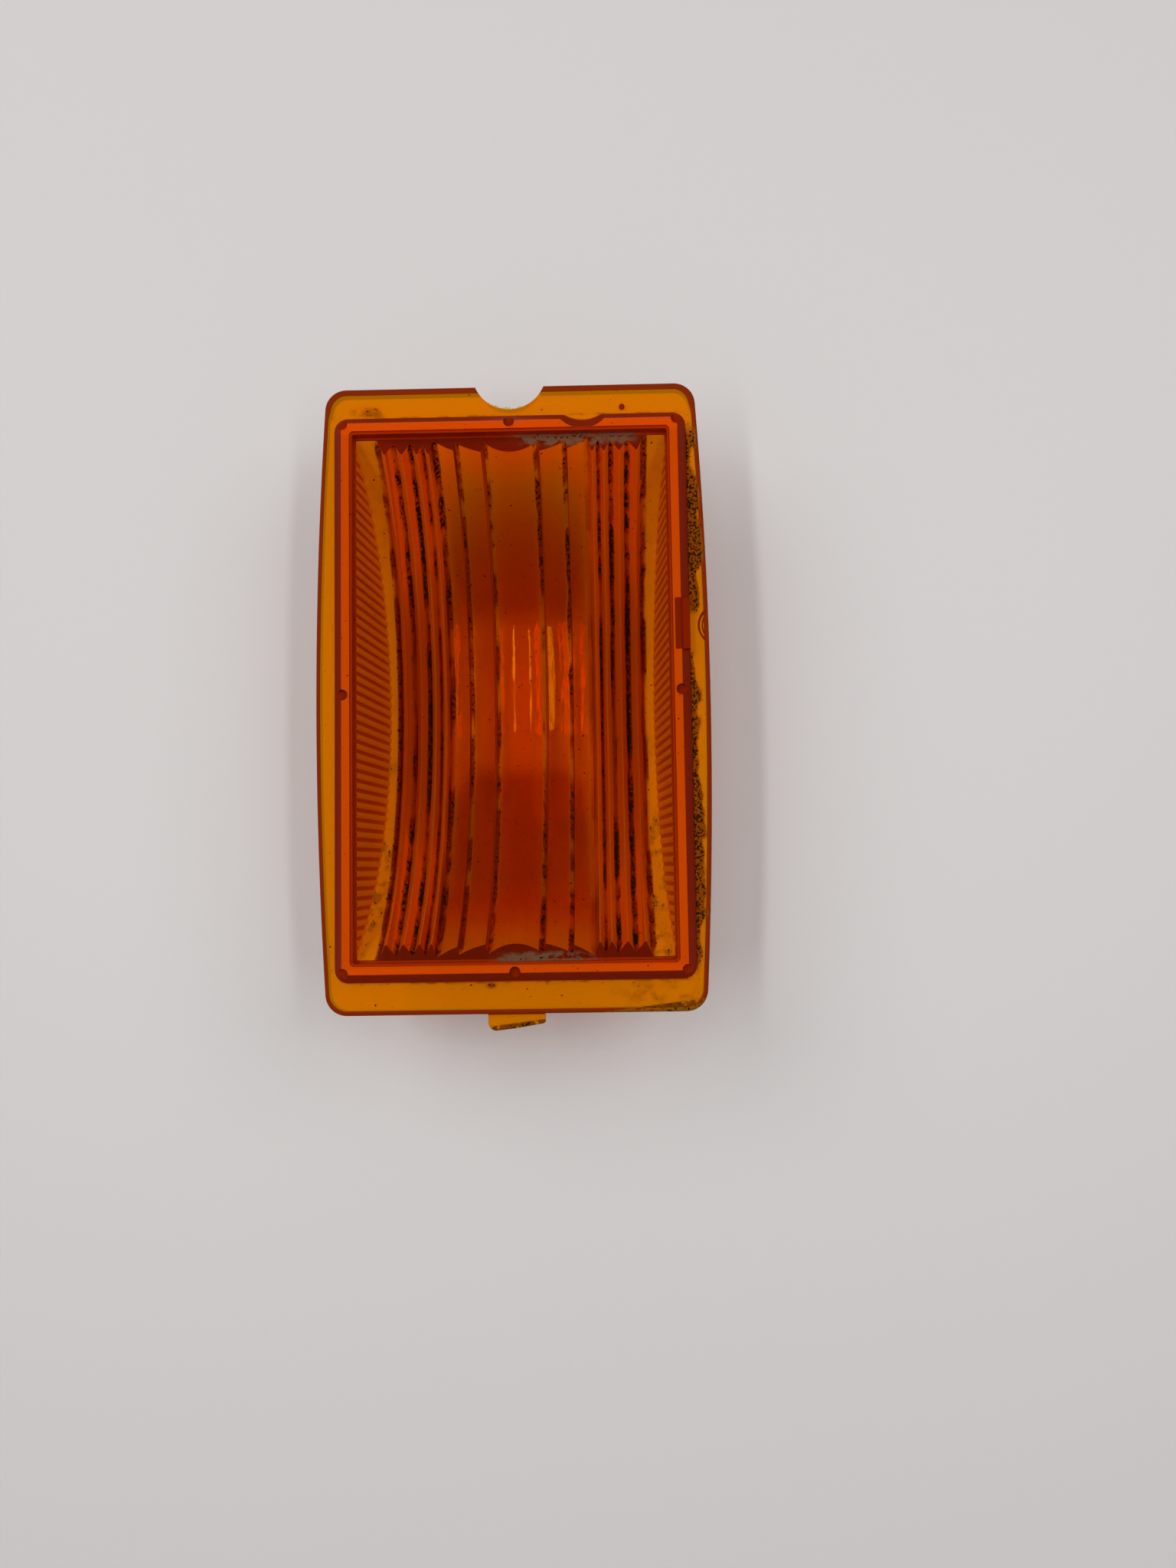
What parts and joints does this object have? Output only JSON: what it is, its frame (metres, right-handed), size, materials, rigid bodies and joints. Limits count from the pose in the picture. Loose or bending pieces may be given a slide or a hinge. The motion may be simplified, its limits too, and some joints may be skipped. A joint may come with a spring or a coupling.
{
  "type": "turn signal lens",
  "caption": "Amber rectangular lens with an arched front, stepped inner optics, a flat flange, a seal rib, a screw notch and a hook tab.",
  "frame": {"origin": "centre of the footprint, tab included, on the plane that touches the lowest line of the arched front", "axes": "+Z from the arched front to the open back, along the moulding's draw; +Y along the length, from the hook tab to the screw notch; +X across the lens, to the right when its open back is looked into with the notch at the top"},
  "size_m": [0.0474, 0.078, 0.0203],
  "materials": {
    "flange": "clear amber, moulded gloss, light scuffs",
    "rib": "clear amber, moulded gloss",
    "shell": "clear amber, polished outside",
    "optics": "clear amber, polished prisms with dirt in the grooves"
  },
  "bodies": {
    "root": {"mounting_flange": "flange", "seal_rib": "rib", "upper_end_web": "rib", "lower_end_web": "rib", "front_shell": "shell", "left_side_wall": "shell", "right_side_wall": "shell", "left_wall_flutes": "optics", "right_wall_flutes": "optics", "centre_cylinder_lens": "optics", "left_inner_facet": "optics", "right_inner_facet": "optics", "left_outer_facet": "optics", "right_outer_facet": "optics", "left_prism_1": "optics", "left_prism_2": "optics", "left_prism_3": "optics", "left_prism_4": "optics", "right_prism_1": "optics", "right_prism_2": "optics", "right_prism_3": "optics", "right_prism_4": "optics", "hook_tab": "flange"}
  },
  "joints": []
}
